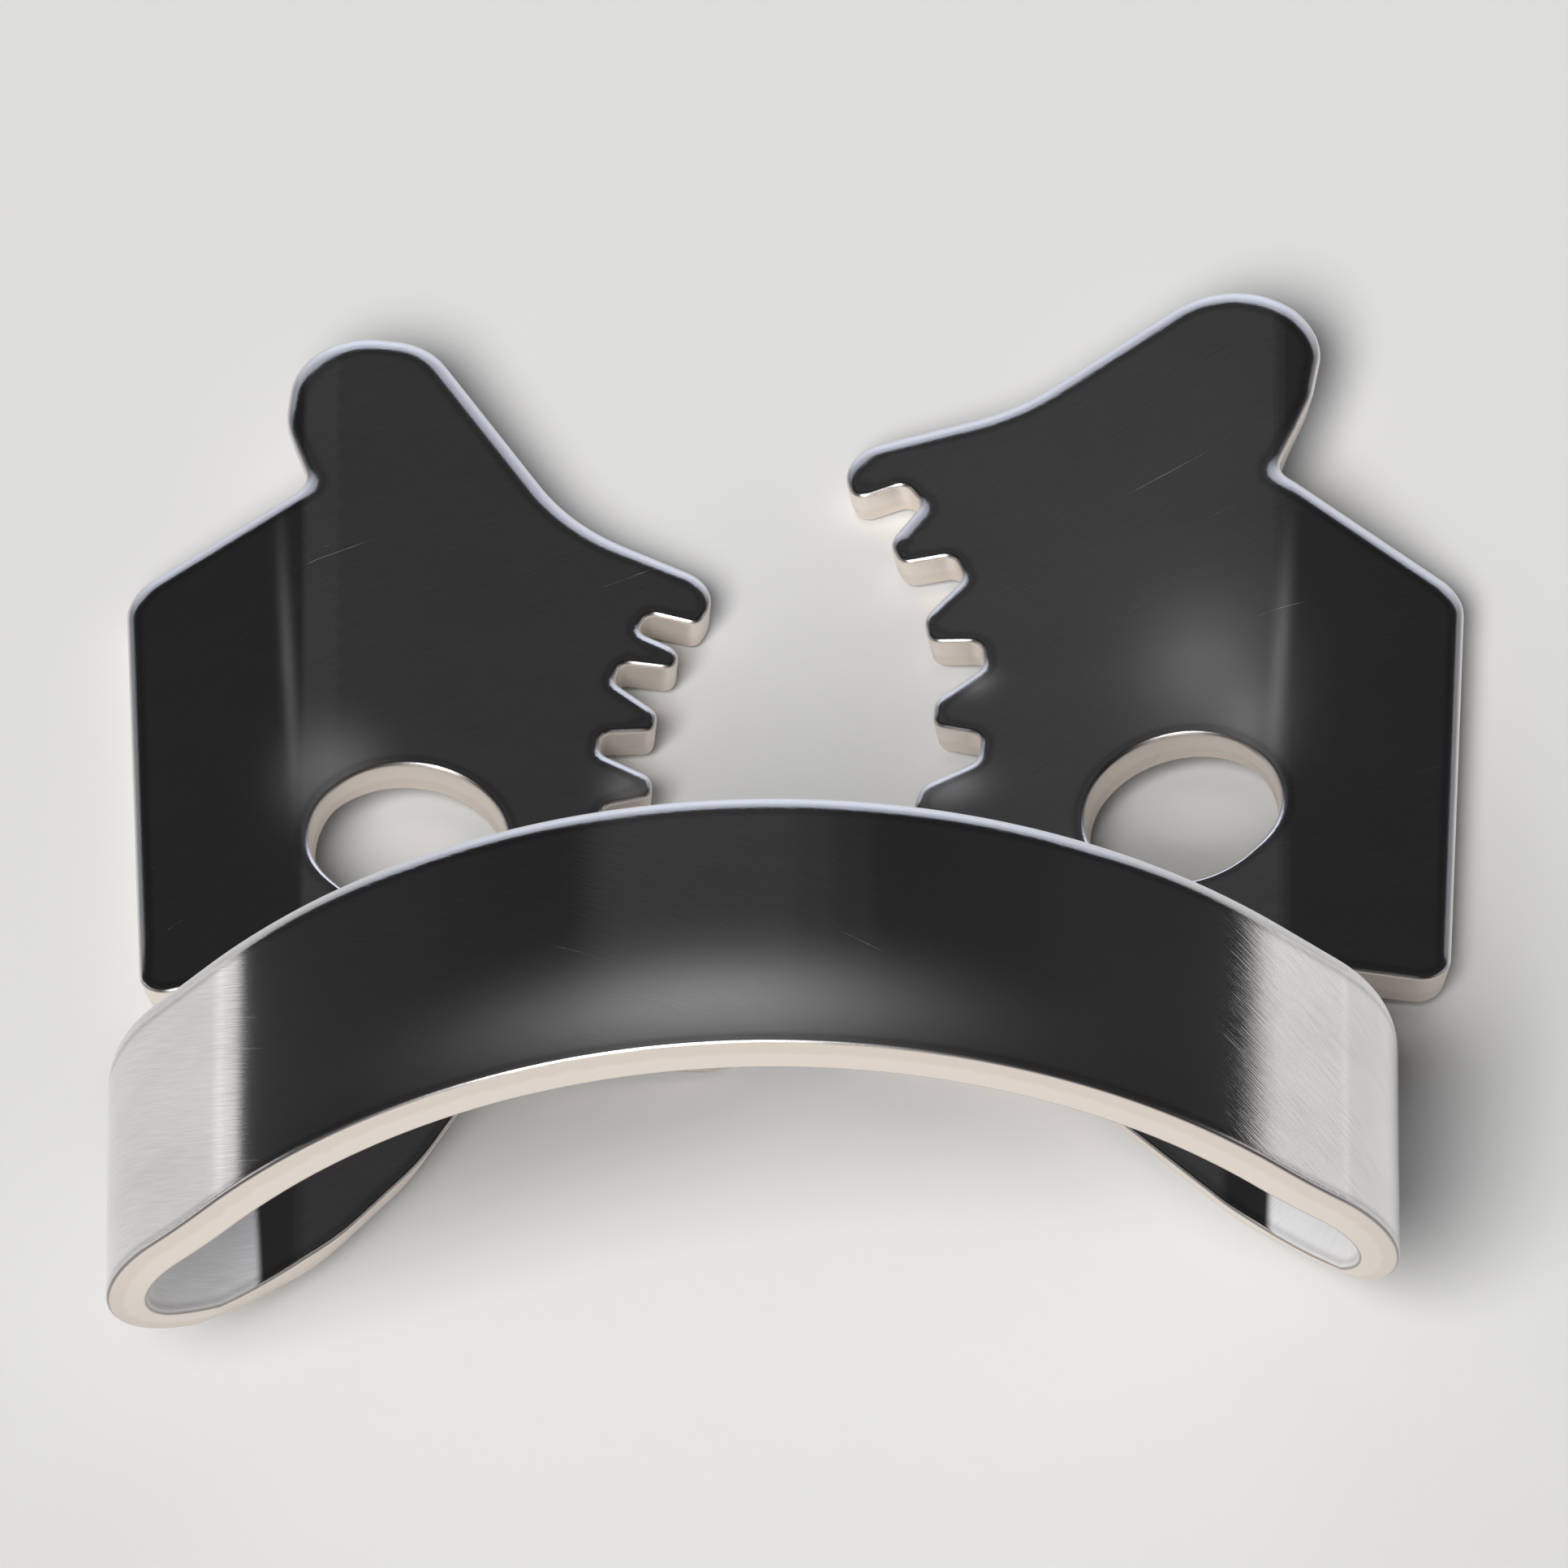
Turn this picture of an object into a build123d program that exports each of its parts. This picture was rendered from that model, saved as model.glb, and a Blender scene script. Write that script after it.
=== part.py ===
from build123d import *
import os
from math import cos, radians, sin, tan

# A winged rubber dam clamp: one stainless sheet with two serrated jaws and an arched bow.
# +X runs across the clamp, +Y towards the noses of the jaws, +Z from the jaws to the bow.
# While it is drawn, the origin is midway between the forceps holes, on the ridges of the jaws.
# Lengths are in millimetres and angles in degrees.

# The sheet
sheet = 0.85

# The forceps holes
hole_diameter = 4.0
hole_spacing = 15.83

# Bends of the jaws: each plate rises outward to a ridge and its wing falls away from there
ridge_spacing = 19.8
plate_slope = 7.0
wing_slope = 15.0
ridge_radius = 2.4

# The bow, a strip of even width that curls up from both jaws and arches over
bow_offset = -0.65
bow_half_width = 13.15
bow_height = 11.57
bow_width = 6.6
bow_setback = 9.58
arch_radius = 14.8
arch_angle = 42.0
shoulder_radius = 3.5

# The foot, where each strip leaves its jaw, is cut square to the rising sheet. Its corners are
# shares: across of the foot's run in from the shoulder, along and the radius of the bow's reach.
# The heel's corner stands on the jaw's back edge, and the front corner that turns up to the
# shoulder on the bow's front edge
foot_cut_slope = 28.0
foot_run = 10.3
foot_front = 5.4
slot_width = 0.9
foot_heel_share = (0.860, 0.148)
right_foot_shares = (
    (0.709, 0.491, 0.400),
    (0.485, 0.671, 0.400),
)
left_foot_shares = (
    (0.699, 0.541, 0.400),
    (0.544, 0.676, 0.400),
)
foot_turn_share = (0.160, 0.075)
foot_brow_share = (0.300, 0.375, 0.150)

# The back corner of each shoulder, an arc seen from the side, where the bow's edge turns down
corner_radius = 8.5
corner_top = 6.75
corner_angle = 56.6

# Serrations, as shares of the pitch along the edge, and their corners as shares of its length
tip_start_share = 0.13
tip_end_share = -0.15
notch_start_share = -0.27
notch_end_share = -0.54
tip_round_share = 0.17
tip_hook_share = 0.14
notch_round_share = 0.12
notch_depth = 1.05
prong_round = 0.55

# The right jaw
right_grip_radius = 10.5
right_grip_bulge = 2.86
right_grip_middle = 3.9
right_tooth_pitch = 12.6
right_prong_angle = 34.2
right_tooth_angles = (22.5, 9.9, -2.7, -15.3)
right_heel_angle = -26.5
right_wing_reach = 13.72
right_nose_reach = 14.35
right_wing_back = 4.45
right_slot_root = 8.6

# The left jaw
left_grip_radius = 8.6
left_grip_bulge = 3.05
left_grip_middle = 2.2
left_tooth_pitch = 11.85
left_prong_angle = 29.2
left_tooth_angles = (20.3, 8.5, -3.3, -15.1, -26.9)
left_heel_angle = -38.0
left_wing_reach = 13.85
left_nose_reach = 13.95
left_wing_back = 3.45
left_slot_root = 9.3

# Corners from the prong round the nose and the neck to the wing: across as a share of the
# wing's reach, along and the corner's radius as shares of the nose's reach
right_front_shares = (
    (0.052, 0.757, 0.060),
    (0.335, 0.803, 0.300),
    (0.642, 1.003, 0.130),
    (0.797, 0.917, 0.105),
    (0.775, 0.780, 0.135),
    (0.722, 0.628, 0.030),
    (0.998, 0.436, 0.075),
)
left_front_shares = (
    (0.112, 0.520, 0.060),
    (0.340, 0.633, 0.300),
    (0.553, 0.978, 0.095),
    (0.738, 0.992, 0.115),
    (0.757, 0.825, 0.140),
    (0.722, 0.693, 0.030),
    (0.998, 0.553, 0.075),
)
heel_across_share = 0.095
heel_round = 0.7
wing_back_share = 0.970
wing_corner_share = 0.050

# The most of a straight run that bends or corners may take up, as a share of it
room_share = 0.95

# Values that follow from these
ridge = ridge_spacing / 2
hole_across = hole_spacing / 2
bow_front = -bow_setback
bow_back = bow_front - bow_width
shoulder_room = bow_half_width - arch_radius * sin(radians(arch_angle))
shoulder_bend = min(shoulder_radius, room_share * shoulder_room / (1 - sin(radians(arch_angle))))
flank_run = shoulder_room - shoulder_bend * (1 - sin(radians(arch_angle)))
flank_length = flank_run / cos(radians(arch_angle))
shoulder_drop = arch_radius * (1 - cos(radians(arch_angle))) + flank_length * sin(radians(arch_angle))
shoulder_drop += shoulder_bend * cos(radians(arch_angle))
shoulder_height = bow_height - shoulder_drop
sheet_fall = sheet / cos(radians(plate_slope))


def plate_point(across):
    """A point of the top face of a plate, at a distance from the middle of the clamp."""
    return (across, -(ridge - across) * tan(radians(plate_slope)))


def shoulder_reach(side):
    """How far the outside of a shoulder lies from the middle of the clamp."""
    return bow_half_width + side * bow_offset


def curl_radius(side):
    """Outer radius of the curl that carries the sheet from the plate up to the shoulder."""
    slope = radians(plate_slope)
    rise = shoulder_height + sheet_fall + (ridge - shoulder_reach(side)) * tan(slope)
    return rise / (cos(slope) - (1 - sin(slope)) * tan(slope))


def grip_point(side, angle, depth):
    """A point of the serrated edge: an angle on the gripping arc and a depth behind it."""
    radius, bulge, middle = grips[side]
    reach = radius + depth
    return (bulge - radius + reach * cos(radians(angle)), middle + reach * sin(radians(angle)))


grips = {
    1: (right_grip_radius, right_grip_bulge, right_grip_middle),
    -1: (left_grip_radius, left_grip_bulge, left_grip_middle),
}
tooth_pitch = {1: right_tooth_pitch, -1: left_tooth_pitch}
tooth_angles = {1: right_tooth_angles, -1: left_tooth_angles}
prong_angle = {1: right_prong_angle, -1: left_prong_angle}
heel_angle = {1: right_heel_angle, -1: left_heel_angle}
wing_reach = {1: right_wing_reach, -1: left_wing_reach}
nose_reach = {1: right_nose_reach, -1: left_nose_reach}
wing_back = {1: right_wing_back, -1: left_wing_back}
slot_root = {1: right_slot_root, -1: left_slot_root}
front_shares = {1: right_front_shares, -1: left_front_shares}
foot_shares = {1: right_foot_shares, -1: left_foot_shares}


def jaw_outline(side):
    """Corners and corner radii of a jaw seen from above, from the heel round to the slot."""
    pitch = tooth_pitch[side]
    pitch_length = radians(pitch) * grips[side][0]
    width = wing_reach[side]
    length = nose_reach[side]
    corners = [((hole_across, -foot_front), 0.0)]
    corners.append(((heel_across_share * width, -foot_front), heel_round))
    corners.append((grip_point(side, heel_angle[side], 0.0), prong_round))
    for angle in reversed((prong_angle[side],) + tooth_angles[side]):
        notch_round = notch_round_share * pitch_length
        corners.append((grip_point(side, angle + notch_end_share * pitch, notch_depth), notch_round))
        corners.append((grip_point(side, angle + notch_start_share * pitch, notch_depth), notch_round))
        tip_hook = tip_hook_share * pitch_length
        corners.append((grip_point(side, angle + tip_end_share * pitch, 0.0), tip_hook))
        if angle != prong_angle[side]:
            tip_round = tip_round_share * pitch_length
            corners.append((grip_point(side, angle + tip_start_share * pitch, 0.0), tip_round))
    for across, along, rounding in front_shares[side]:
        corners.append(((across * width, along * length), rounding * length))
    corners.append(((wing_back_share * width, -wing_back[side]), wing_corner_share * length))
    corners.append(((slot_root[side], -wing_back[side]), 0.0))
    return corners


def rounded_outline(side, corners):
    """Straight runs joined by tangent arcs. An arc that its runs have no room for is smaller."""
    places = [Vector(side * point[0], point[1]) for point, rounding in corners]
    turns = []
    for index, (point, rounding) in enumerate(corners):
        before = (places[index - 1] - places[index]).normalized()
        after = (places[(index + 1) % len(places)] - places[index]).normalized()
        half_angle = radians(before.get_angle(after)) / 2
        turns.append((before, after, half_angle, rounding / tan(half_angle)))
    fits = []
    for index, turn in enumerate(turns):
        room = room_share * (places[index] - places[index - 1]).length
        used = turns[index - 1][3] + turn[3]
        fits.append(room / used if used > room else 1)
    ends = []
    for index, (before, after, half_angle, setback) in enumerate(turns):
        corner = places[index]
        rounding = corners[index][1] * min(fits[index], fits[(index + 1) % len(fits)])
        setback = rounding / tan(half_angle)
        middle = corner + (before + after).normalized() * (rounding / sin(half_angle) - rounding)
        ends.append((corner + before * setback, middle, corner + after * setback))
    for index, (start, middle, end) in enumerate(ends):
        if corners[index][1] > 0:
            ThreePointArc(start, middle, end)
        Line(end, ends[(index + 1) % len(ends)][0])


def slope_vector(side, angle, length=1.0):
    """A direction in the plane across the clamp: outward on its side and up by an angle."""
    return Vector(side * cos(radians(angle)), sin(radians(angle))) * length


def wing_section(side):
    """Section of a jaw across the clamp: the plate, the bend over the ridge and the wing."""
    setback = ridge_radius * tan(radians(plate_slope + wing_slope) / 2)
    crest = Vector(side * ridge, 0)
    plate_rise = slope_vector(side, plate_slope)
    wing_fall = slope_vector(side, -wing_slope)
    plate_under = slope_vector(side, plate_slope - 90, sheet)
    wing_under = slope_vector(side, -wing_slope - 90, sheet)
    top = [
        crest - plate_rise * ridge,
        crest - plate_rise * setback,
        crest + wing_fall * setback,
        crest + wing_fall * ridge,
    ]
    low = [top[0] + plate_under, top[1] + plate_under, top[2] + wing_under, top[3] + wing_under]
    Line(top[0], top[1])
    RadiusArc(top[1], top[2], side * ridge_radius)
    Line(top[2], top[3])
    Line(top[3], low[3])
    Line(low[3], low[2])
    RadiusArc(low[2], low[1], -side * (ridge_radius - sheet))
    Line(low[1], low[0])
    Line(low[0], top[0])


def strip_section(side):
    """Section of the sheet that rises from the plate and curls up to the shoulder."""
    reach = shoulder_reach(side)
    radius = curl_radius(side)
    centre = Vector(side * (reach - radius), shoulder_height)
    to_plate = slope_vector(side, plate_slope - 90)
    half_way = slope_vector(side, plate_slope / 2 - 45)
    inward = slope_vector(side, plate_slope, -(reach - radius))
    inner_radius = radius - sheet
    shoulder = [Vector(side * reach, shoulder_height), Vector(side * (reach - sheet), shoulder_height)]
    root = [centre + to_plate * radius, centre + to_plate * inner_radius]
    ThreePointArc(shoulder[0], centre + half_way * radius, root[0])
    Line(root[0], root[0] + inward)
    Line(root[0] + inward, root[1] + inward)
    Line(root[1] + inward, root[1])
    ThreePointArc(root[1], centre + half_way * inner_radius, shoulder[1])
    Line(shoulder[1], shoulder[0])


def foot_plane(side):
    """The plane that the foot is cut out on, tilted about the outside of the shoulder."""
    tilt = radians(foot_cut_slope)
    return Plane(
        origin=(side * shoulder_reach(side), 0, shoulder_height),
        x_dir=(side * cos(tilt), 0, sin(tilt)),
        z_dir=(-sin(tilt), 0, side * cos(tilt)),
    )


def foot_outline(side):
    """Corners of the foot on its tilted plane, inward from the shoulder and back to it."""
    tilt = radians(foot_cut_slope)
    root = slot_root[side]
    root_height = plate_point(root)[1]
    root_run = (root - shoulder_reach(side)) * cos(tilt) + (root_height - shoulder_height) * sin(tilt)
    corners = [((-foot_run, -foot_front), 0.0)]
    across, rounding = foot_heel_share
    corners.append(((-across * foot_run, -foot_front), -rounding * bow_back))
    for across, along, rounding in foot_shares[side]:
        corners.append(((-across * foot_run, along * bow_back), -rounding * bow_back))
    corners.append(((0, bow_back), 0.0))
    corners.append(((sheet, bow_back), 0.0))
    corners.append(((sheet, bow_front), 0.0))
    across, rounding = foot_turn_share
    corners.append(((-across * foot_run, bow_front), -rounding * bow_back))
    across, along, rounding = foot_brow_share
    corners.append(((-across * foot_run, along * bow_back), -rounding * bow_back))
    corners.append(((root_run, -wing_back[side] - slot_width / 2), 0.0))
    corners.append(((root_run, -wing_back[side]), 0.0))
    corners.append(((-foot_run, -wing_back[side] + slot_width), 0.0))
    return corners


# The bow: an arch, two straight flanks and two shoulders, all of one strip
with BuildPart() as bow:
    with BuildSketch(Plane.XZ.offset(bow_setback)) as bow_section:
        with BuildLine():
            for side in (1, -1):
                shoulder_ends = []
                for depth in (0, sheet):
                    apex = (bow_offset, bow_height - depth)
                    arch = JernArc(apex, (side, 0), arch_radius - depth, -side * arch_angle)
                    flank = Line(arch @ 1, arch @ 1 + (arch % 1) * flank_length)
                    turn = side * (arch_angle - 90)
                    shoulder = JernArc(flank @ 1, flank % 1, shoulder_bend - depth, turn)
                    shoulder_ends.append(shoulder @ 1)
                Line(*shoulder_ends)
        make_face()
    extrude(amount=bow_width)

jaws = {}
feet = {}
for side in (1, -1):
    # A jaw: its sheet from the middle over the ridge to the wing, trimmed to its outline
    with BuildPart() as jaw:
        with BuildSketch(Plane.XZ):
            with BuildLine():
                wing_section(side)
            make_face()
        extrude(amount=2 * nose_reach[side], both=True)
        with BuildSketch():
            with BuildLine():
                rounded_outline(side, jaw_outline(side))
            make_face()
        extrude(amount=bow_height, both=True, mode=Mode.INTERSECT)
    jaws[side] = jaw

    # Its foot: the sheet that curls up to the shoulder, trimmed square to itself
    with BuildPart() as foot:
        with BuildSketch(Plane.XZ):
            with BuildLine():
                strip_section(side)
            make_face()
        extrude(amount=-bow_back)
        with BuildSketch(foot_plane(side)):
            with BuildLine():
                rounded_outline(1, foot_outline(side))
            make_face()
        extrude(amount=bow_height, both=True, mode=Mode.INTERSECT)
    feet[side] = foot

# The whole sheet, with a slot beside each wing and a hole square through each plate
with BuildPart() as sheet_body:
    add(bow.part)
    for side in (1, -1):
        add(jaws[side].part)
        add(feet[side].part)
        slot_middle = -wing_back[side] - slot_width / 2
        slot_run = 2 * (wing_reach[side] - slot_root[side])
        with BuildSketch(Plane.XY.offset(shoulder_height)):
            with Locations((side * (slot_root[side] + slot_run / 2), slot_middle)):
                SlotOverall(slot_run + slot_width, slot_width)
        extrude(amount=-2 * shoulder_height, mode=Mode.SUBTRACT)
        hole_point = plate_point(hole_across)
        square_up = slope_vector(side, plate_slope + 90)
        hole_plane = Plane(
            origin=(side * hole_point[0], 0, hole_point[1]),
            x_dir=(0, 1, 0),
            z_dir=(square_up.X, 0, square_up.Y),
        )
        with BuildSketch(hole_plane):
            Circle(hole_diameter / 2)
        extrude(amount=2 * sheet, both=True, mode=Mode.SUBTRACT)
    with BuildSketch(Plane.YZ):
        with BuildLine():
            corner_start = (bow_back, corner_top)
            corner = JernArc(corner_start, (0, -1), corner_radius, corner_angle)
            corner_foot = (corner.position_at(1).X, -shoulder_height)
            Polyline(corner @ 1, corner_foot, (bow_back - sheet, -shoulder_height),
                     (bow_back - sheet, corner_top), corner_start)
        make_face()
    extrude(amount=2 * bow_half_width, both=True, mode=Mode.SUBTRACT)

print("solids", len(sheet_body.part.solids()), "volume", round(sheet_body.part.volume, 2))

# Its origin is the middle of its footprint on the surface it stands on
box = sheet_body.part.bounding_box()
with BuildPart() as clamp_body:
    with Locations((-box.center().X, -box.center().Y, -box.min.Z)):
        add(sheet_body.part)

clamp_body.part.label = "clamp_body"
os.makedirs("parts", exist_ok=True)
export_step(clamp_body.part, "parts/clamp_body.step")
print("centre of mass", clamp_body.part.center(CenterOf.MASS), "box", clamp_body.part.bounding_box())
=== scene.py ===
import math
import bpy
import numpy as np
from mathutils import Matrix, Vector
from mathutils.geometry import delaunay_2d_cdt


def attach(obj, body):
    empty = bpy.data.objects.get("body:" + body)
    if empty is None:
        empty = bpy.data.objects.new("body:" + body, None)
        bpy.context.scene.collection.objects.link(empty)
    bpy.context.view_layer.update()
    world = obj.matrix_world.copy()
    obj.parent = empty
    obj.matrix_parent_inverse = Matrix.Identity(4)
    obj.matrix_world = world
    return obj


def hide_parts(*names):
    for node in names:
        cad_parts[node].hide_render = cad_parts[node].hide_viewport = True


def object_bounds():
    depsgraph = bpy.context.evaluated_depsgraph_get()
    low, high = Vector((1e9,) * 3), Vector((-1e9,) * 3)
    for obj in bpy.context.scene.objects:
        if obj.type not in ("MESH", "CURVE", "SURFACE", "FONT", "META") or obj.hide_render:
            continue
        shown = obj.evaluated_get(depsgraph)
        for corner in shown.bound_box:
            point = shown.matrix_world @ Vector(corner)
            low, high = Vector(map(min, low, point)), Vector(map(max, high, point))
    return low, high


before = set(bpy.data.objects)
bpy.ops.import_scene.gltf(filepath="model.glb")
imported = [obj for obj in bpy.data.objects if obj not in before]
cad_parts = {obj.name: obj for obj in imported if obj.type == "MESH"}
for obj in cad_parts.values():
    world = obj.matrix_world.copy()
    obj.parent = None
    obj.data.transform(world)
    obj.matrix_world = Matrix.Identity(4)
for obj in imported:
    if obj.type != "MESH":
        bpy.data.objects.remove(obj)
cadLow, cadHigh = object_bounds()
print("frame loaded")

# Lengths are in millimetres and angles in degrees until the mesh is written in metres.
# While the sheet is drawn, the origin is midway between the forceps holes, on the jaws' ridges.
millimetre = 0.001

# The sheet and its bends, seen in section across the clamp. The rims reach least, more or most across
# the faces. They are widest nearer to the crown than 18, nearer than 25 where they lie beyond -3
# along, and past 6.5 along over the next 2, because a wide rim folds between the teeth and in a slot
sheetShape = {
    "thickness": 0.85,
    "rimAcross": (0.11, 0.24, 0.38),
    "rimFacing": (0.5, 0.9),
    "wideNearCrown": 18.0,
    "wideNearTeeth": (25.0, -3.0),
    "wideNearNose": (6.5, 2.0),
    "holeRimAcross": 0.12,
    "rimDown": 0.12,
    "ridge": 9.9,
    "ridgeRadius": 2.4,
    "plateSlope": 7.0,
    "wingSlope": 15.0,
    "bowOffset": -0.65,
    "bowHalfWidth": 13.15,
    "bowHeight": 11.57,
    "bowWidth": 6.6,
    "bowSetback": 9.58,
    "archRadius": 15.5,
    "archAngle": 45.0,
    "shoulderRadius": 3.5,
    "holeRadius": 2.0,
    "holeAcross": 7.915,
}

# The foot's corners: across as a share of its run, along and radius as shares of the bow's reach.
# The shoulder's back corner is an arc seen from the side that starts at a height, then a straight
# cut. The foot's edge leans on the plate, and is square once the sheet has turned by squareAfter
footShape = {
    "cutSlope": 28.0,
    "run": 10.3,
    "front": 5.4,
    "slotWidth": 0.9,
    "heelShare": (0.860, 0.148),
    "turnShare": (0.160, 0.075),
    "browShare": (0.300, 0.375, 0.150),
    "cornerRadius": 8.5,
    "cornerTop": 6.75,
    "cornerAngle": 56.6,
    "squareAfter": 45.0,
}

# The serrations. Tips and notches start, end and are rounded by shares of their pitch, and a notch's
# depth and the roundings of the jaw's first corner and its heel are lengths. The heel lies across by
# a share of the wing's reach, as the wing's back corner does, which is rounded by one of the nose's
toothShape = {
    "tipStart": 0.16,
    "tipEnd": -0.15,
    "notchStart": -0.27,
    "notchEnd": -0.54,
    "tipRound": 0.21,
    "tipHook": 0.14,
    "notchRound": 0.12,
    "notchDepth": 1.05,
    "prongRound": 0.55,
    "heelAcross": 0.095,
    "heelRound": 0.7,
    "wingBackAcross": 0.970,
    "wingBackRound": 0.050,
}

# The right jaw is 1 and the left jaw is -1. Corners are (across, along, radius): front ones in shares
# of the wing's and the nose's reach, and foot ones as in footShape
jawShapes = {
    1: {
        "gripRadius": 10.5, "gripBulge": 2.86, "gripMiddle": 3.9, "pitch": 12.6, "prong": 34.2,
        "teeth": (22.5, 9.9, -2.7, -15.3), "heel": -26.5,
        "wingReach": 13.72, "noseReach": 14.35, "wingBack": 4.45, "slotRoot": 8.6,
        "front": ((0.052, 0.757, 0.060), (0.335, 0.803, 0.300), (0.642, 1.003, 0.130),
                  (0.797, 0.917, 0.105), (0.775, 0.780, 0.135), (0.722, 0.628, 0.030),
                  (0.998, 0.436, 0.075)),
        "foot": ((0.709, 0.491, 0.400), (0.485, 0.671, 0.400)),
    },
    -1: {
        "gripRadius": 8.6, "gripBulge": 3.05, "gripMiddle": 2.2, "pitch": 11.85, "prong": 29.2,
        "teeth": (20.3, 8.5, -3.3, -15.1, -26.9), "heel": -38.0,
        "wingReach": 13.85, "noseReach": 13.95, "wingBack": 3.45, "slotRoot": 9.3,
        "front": ((0.112, 0.520, 0.060), (0.340, 0.633, 0.300), (0.553, 0.978, 0.095),
                  (0.738, 0.992, 0.115), (0.757, 0.825, 0.140), (0.722, 0.693, 0.030),
                  (0.998, 0.553, 0.075)),
        "foot": ((0.699, 0.541, 0.400), (0.544, 0.676, 0.400)),
    },
}

# How finely the sheet is meshed. The grid keeps clear of the rim by a share of its step, the plan's
# outline starts a little past the foot's, and big arrays are worked through in parts
meshing = {
    "outlineStep": 0.085,
    "gridStep": 0.27,
    "gridClear": 0.6,
    "arcPoints": 13,
    "rimSteps": 5,
    "wallSteps": 4,
    "wingSamples": 4000,
    "stripSamples": 8000,
    "planGap": 0.4,
    "slideFade": 1.4,
    "frontFacing": -1.3,
    "mergeWithin": 1e-7,
    "insideParts": 20,
    "nearestParts": 40,
}
tiny = 1e-9  # stands in for a length of 0 in a division


def bentLine(start, firstLength, stretches):
    # Stretches of (length, heading before, heading after). The heading changes evenly with length,
    # so a stretch that turns is an arc, and its chord is length * sin(turn/2) / (turn/2)
    length, before, after = np.array(stretches).T
    before, turn = np.radians(before), np.radians(after - before)
    chord = length * np.sinc(turn / 2 / np.pi)
    middle = before + turn / 2
    steps = np.stack((np.cos(middle), np.sin(middle)), 1) * chord[:, None]
    knots = firstLength + np.concatenate(([0.0], np.cumsum(length)))
    nodes = np.array(start) + np.concatenate((np.zeros((1, 2)), np.cumsum(steps, 0)))
    return {"knots": knots, "nodes": nodes, "length": length, "before": before, "turn": turn}


def walkLine(line, s):
    # The point and heading at length s: node + t * sinc(half turn) along the mean heading
    index = np.clip(np.searchsorted(line["knots"], s, side="right") - 1, 0, len(line["length"]) - 1)
    t = s - line["knots"][index]
    half = line["turn"][index] * t / line["length"][index] / 2
    reach = t * np.sinc(half / np.pi)
    middle = line["before"][index] + half
    points = line["nodes"][index] + np.stack((np.cos(middle), np.sin(middle)), -1) * reach[..., None]
    return points, middle + half


def sectionLines(side):
    # Middle line of the sheet in (outward, up), measured from the bow's crown: the strip runs over
    # the arch, flank, shoulder and curl to the plate; the wing leaves the same plate over the ridge
    shape = sheetShape
    half = shape["thickness"] / 2
    arch, slope, fall = (math.radians(shape[k]) for k in ("archAngle", "plateSlope", "wingSlope"))
    flankRun = shape["bowHalfWidth"] - shape["archRadius"] * math.sin(arch)
    flankRun -= shape["shoulderRadius"] * (1 - math.sin(arch))
    flank = flankRun / math.cos(arch)
    drop = shape["archRadius"] * (1 - math.cos(arch)) + flank * math.sin(arch)
    shoulderHeight = shape["bowHeight"] - drop - shape["shoulderRadius"] * math.cos(arch)
    reach = shape["bowHalfWidth"] + side * shape["bowOffset"]
    rise = shoulderHeight + shape["thickness"] / math.cos(slope) + (shape["ridge"] - reach) * math.tan(slope)
    curl = rise / (math.cos(slope) - (1 - math.sin(slope)) * math.tan(slope))
    turned = shape["plateSlope"] - 180
    strip = bentLine((side * shape["bowOffset"], shape["bowHeight"] - half), 0.0, (
        ((shape["archRadius"] - half) * arch, 0, -shape["archAngle"]),
        (flank, -shape["archAngle"], -shape["archAngle"]),
        ((shape["shoulderRadius"] - half) * (math.pi / 2 - arch), -shape["archAngle"], -90),
        ((curl - half) * (math.pi / 2 - slope), -90, turned),
        (curl + shape["ridge"], turned, turned)))
    curlEnd = strip["nodes"][4]
    setback = shape["ridgeRadius"] * math.tan((slope + fall) / 2)
    bendStart = shape["ridge"] - setback * math.cos(slope) + half * math.sin(slope)
    bend = (shape["ridgeRadius"] - half) * (slope + fall)
    wingRun = shape["ridge"] - setback
    wingEnd = (shape["ridge"] + shape["ridge"] * math.cos(fall) - half * math.sin(fall),
               -shape["ridge"] * math.sin(fall) - half * math.cos(fall))
    toBend = strip["knots"][4] - (bendStart - curlEnd[0]) / math.cos(slope)
    wing = bentLine(wingEnd, toBend - bend - wingRun, (
        (wingRun, -180 - shape["wingSlope"], -180 - shape["wingSlope"]),
        (bend, -180 - shape["wingSlope"], turned),
        (shape["ridge"], turned, turned)))
    return {"strip": strip, "wing": wing, "reach": reach, "shoulderHeight": shoulderHeight}


def roundedPath(corners):
    # An open path through corners (x, y, radius): each corner is an arc between its tangent points
    corners = np.array(corners, float)
    place, radius = corners[1:-1, :2], corners[1:-1, 2]
    before = corners[:-2, :2] - place
    after = corners[2:, :2] - place
    before /= np.linalg.norm(before, axis=1)[:, None]
    after /= np.linalg.norm(after, axis=1)[:, None]
    half = np.arccos(np.clip((before * after).sum(1), -1, 1)) / 2
    bisector = before + after
    bisector /= np.linalg.norm(bisector, axis=1)[:, None]
    centre = place + bisector * (radius / np.sin(half))[:, None]
    start = place + before * (radius / np.tan(half))[:, None]
    end = place + after * (radius / np.tan(half))[:, None]
    share = np.linspace(0, 1, meshing["arcPoints"])[None, :, None]
    arm = (start - centre)[:, None] * (1 - share) + (end - centre)[:, None] * share
    arm *= radius[:, None, None] / np.maximum(np.linalg.norm(arm, axis=2, keepdims=True), tiny)
    arcs = (centre[:, None] + arm).reshape(-1, 2)
    return np.concatenate((corners[:1, :2], arcs, corners[-1:, :2]))


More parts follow.
